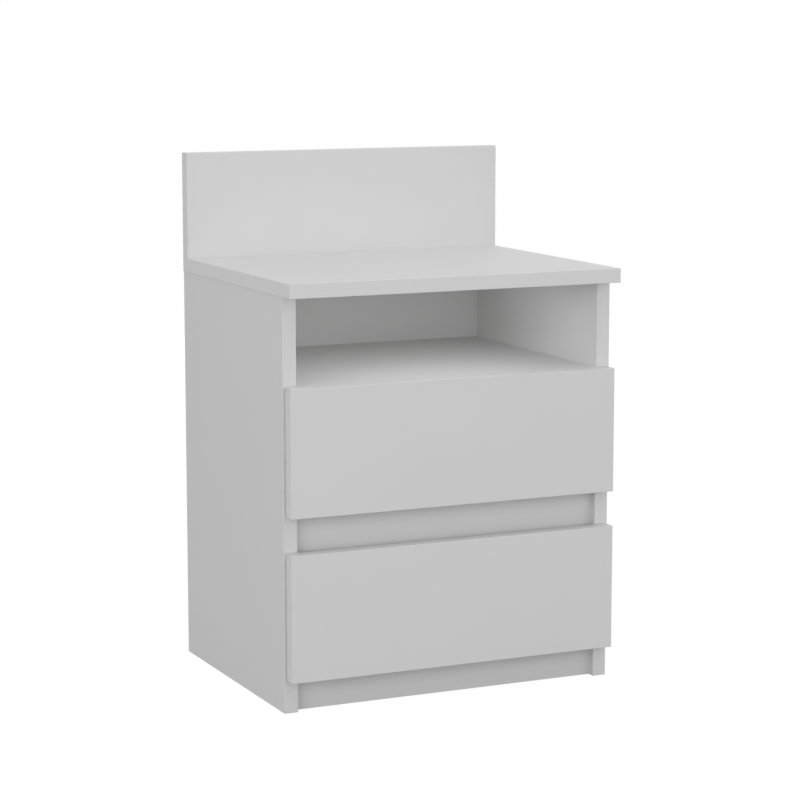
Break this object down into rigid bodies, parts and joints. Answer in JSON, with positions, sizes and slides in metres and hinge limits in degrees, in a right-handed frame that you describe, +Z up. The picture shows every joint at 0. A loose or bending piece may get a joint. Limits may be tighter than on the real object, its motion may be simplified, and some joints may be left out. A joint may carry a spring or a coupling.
{
  "type": "nightstand with drawers",
  "caption": "White flat-pack nightstand with a raised back edge, an open niche below the top and drawers on roller runners pulled at finger gaps.",
  "frame": {"origin": "on the floor, at the middle of the whole outline seen from above", "axes": "+Z up, +X to the right for someone who stands in front, +Y from the fronts to the back; the drawers pull out along -Y"},
  "size_m": [0.4, 0.33, 0.594],
  "materials": {
    "laminated_chipboard": "white melamine laminate, satin",
    "abs_edge_band": "white ABS edge band, satin",
    "painted_fibreboard": "hard fibreboard painted white, matt",
    "coated_runner_steel": "cream epoxy powder coating, satin",
    "zinc_plated_steel": "bright zinc plating",
    "zinc_die_cast": "tumbled zinc die casting",
    "beech": "turned beech with a ribbed face",
    "nylon": "natural white nylon",
    "white_polypropylene": "moulded white polypropylene"
  },
  "bodies": {
    "carcass": {"left_side_panel": "laminated_chipboard", "right_side_panel": "laminated_chipboard", "top_board": "laminated_chipboard", "upstand_board": "laminated_chipboard", "niche_shelf": "laminated_chipboard", "middle_rail": "laminated_chipboard", "plinth_board": "laminated_chipboard", "rear_stretcher": "laminated_chipboard", "back_panel": "painted_fibreboard", "carcass_edge_bands": "abs_edge_band", "carcass_cam_locks": "zinc_die_cast", "carcass_cam_bolts": "zinc_plated_steel", "carcass_dowels": "beech", "corner_blocks": "white_polypropylene", "corner_block_screws": "zinc_plated_steel", "back_panel_nails": "zinc_plated_steel", "upper_left_cabinet_runner": "coated_runner_steel", "upper_right_cabinet_runner": "coated_runner_steel", "lower_left_cabinet_runner": "coated_runner_steel", "lower_right_cabinet_runner": "coated_runner_steel", "cabinet_runner_screws": "zinc_plated_steel", "front_roller_rivets": "zinc_plated_steel"},
    "upper_left_front_roller": {"upper_left_front_roller": "nylon"},
    "upper_right_front_roller": {"upper_right_front_roller": "nylon"},
    "lower_left_front_roller": {"lower_left_front_roller": "nylon"},
    "lower_right_front_roller": {"lower_right_front_roller": "nylon"},
    "upper_drawer": {"upper_drawer_front": "laminated_chipboard", "upper_drawer_front_bands": "abs_edge_band", "upper_drawer_left_side": "laminated_chipboard", "upper_drawer_right_side": "laminated_chipboard", "upper_drawer_back": "laminated_chipboard", "upper_drawer_bottom": "painted_fibreboard", "upper_drawer_left_runner": "coated_runner_steel", "upper_drawer_right_runner": "coated_runner_steel", "upper_drawer_runner_screws": "zinc_plated_steel", "upper_drawer_roller_rivets": "zinc_plated_steel", "upper_drawer_cam_locks": "zinc_die_cast", "upper_drawer_cam_bolts": "zinc_plated_steel", "upper_drawer_dowels": "beech", "upper_drawer_back_screws": "zinc_plated_steel", "upper_drawer_bottom_nails": "zinc_plated_steel"},
    "upper_left_rear_roller": {"upper_left_rear_roller": "nylon"},
    "upper_right_rear_roller": {"upper_right_rear_roller": "nylon"},
    "lower_drawer": {"lower_drawer_front": "laminated_chipboard", "lower_drawer_front_bands": "abs_edge_band", "lower_drawer_left_side": "laminated_chipboard", "lower_drawer_right_side": "laminated_chipboard", "lower_drawer_back": "laminated_chipboard", "lower_drawer_bottom": "painted_fibreboard", "lower_drawer_left_runner": "coated_runner_steel", "lower_drawer_right_runner": "coated_runner_steel", "lower_drawer_runner_screws": "zinc_plated_steel", "lower_drawer_roller_rivets": "zinc_plated_steel", "lower_drawer_cam_locks": "zinc_die_cast", "lower_drawer_cam_bolts": "zinc_plated_steel", "lower_drawer_dowels": "beech", "lower_drawer_back_screws": "zinc_plated_steel", "lower_drawer_bottom_nails": "zinc_plated_steel"},
    "lower_left_rear_roller": {"lower_left_rear_roller": "nylon"},
    "lower_right_rear_roller": {"lower_right_rear_roller": "nylon"}
  },
  "joints": [
    {"name": "upper_drawer_slide", "type": "slide", "parent": "carcass", "child": "upper_drawer", "axis": [0, -1, 0], "range_m": [0, 0.19]},
    {"name": "lower_drawer_slide", "type": "slide", "parent": "carcass", "child": "lower_drawer", "axis": [0, -1, 0], "range_m": [0, 0.19]},
    {"name": "upper_left_front_roller_spin", "type": "hinge", "parent": "carcass", "child": "upper_left_front_roller", "pos_m": [-0.17765, -0.127, 0.2502], "axis": [1, 0, 0], "range_deg": [0, 1150]},
    {"name": "upper_left_rear_roller_spin", "type": "hinge", "parent": "upper_drawer", "child": "upper_left_rear_roller", "pos_m": [-0.1769, 0.0945, 0.2506], "axis": [1, 0, 0], "range_deg": [0, 1040]},
    {"name": "upper_right_front_roller_spin", "type": "hinge", "parent": "carcass", "child": "upper_right_front_roller", "pos_m": [0.17765, -0.127, 0.2502], "axis": [1, 0, 0], "range_deg": [0, 1150]},
    {"name": "upper_right_rear_roller_spin", "type": "hinge", "parent": "upper_drawer", "child": "upper_right_rear_roller", "pos_m": [0.1769, 0.0945, 0.2506], "axis": [1, 0, 0], "range_deg": [0, 1040]},
    {"name": "lower_left_front_roller_spin", "type": "hinge", "parent": "carcass", "child": "lower_left_front_roller", "pos_m": [-0.17765, -0.127, 0.0692], "axis": [1, 0, 0], "range_deg": [0, 1150]},
    {"name": "lower_left_rear_roller_spin", "type": "hinge", "parent": "lower_drawer", "child": "lower_left_rear_roller", "pos_m": [-0.1769, 0.0945, 0.0696], "axis": [1, 0, 0], "range_deg": [0, 1040]},
    {"name": "lower_right_front_roller_spin", "type": "hinge", "parent": "carcass", "child": "lower_right_front_roller", "pos_m": [0.17765, -0.127, 0.0692], "axis": [1, 0, 0], "range_deg": [0, 1150]},
    {"name": "lower_right_rear_roller_spin", "type": "hinge", "parent": "lower_drawer", "child": "lower_right_rear_roller", "pos_m": [0.1769, 0.0945, 0.0696], "axis": [1, 0, 0], "range_deg": [0, 1040]}
  ],
  "couplings": [
    {"joint": "upper_left_front_roller_spin", "follows": "upper_drawer_slide", "rad_per_m": 105.26},
    {"joint": "upper_left_rear_roller_spin", "follows": "upper_drawer_slide", "rad_per_m": 95.238},
    {"joint": "upper_right_front_roller_spin", "follows": "upper_drawer_slide", "rad_per_m": 105.26},
    {"joint": "upper_right_rear_roller_spin", "follows": "upper_drawer_slide", "rad_per_m": 95.238},
    {"joint": "lower_left_front_roller_spin", "follows": "lower_drawer_slide", "rad_per_m": 105.26},
    {"joint": "lower_left_rear_roller_spin", "follows": "lower_drawer_slide", "rad_per_m": 95.238},
    {"joint": "lower_right_front_roller_spin", "follows": "lower_drawer_slide", "rad_per_m": 105.26},
    {"joint": "lower_right_rear_roller_spin", "follows": "lower_drawer_slide", "rad_per_m": 95.238}
  ]
}
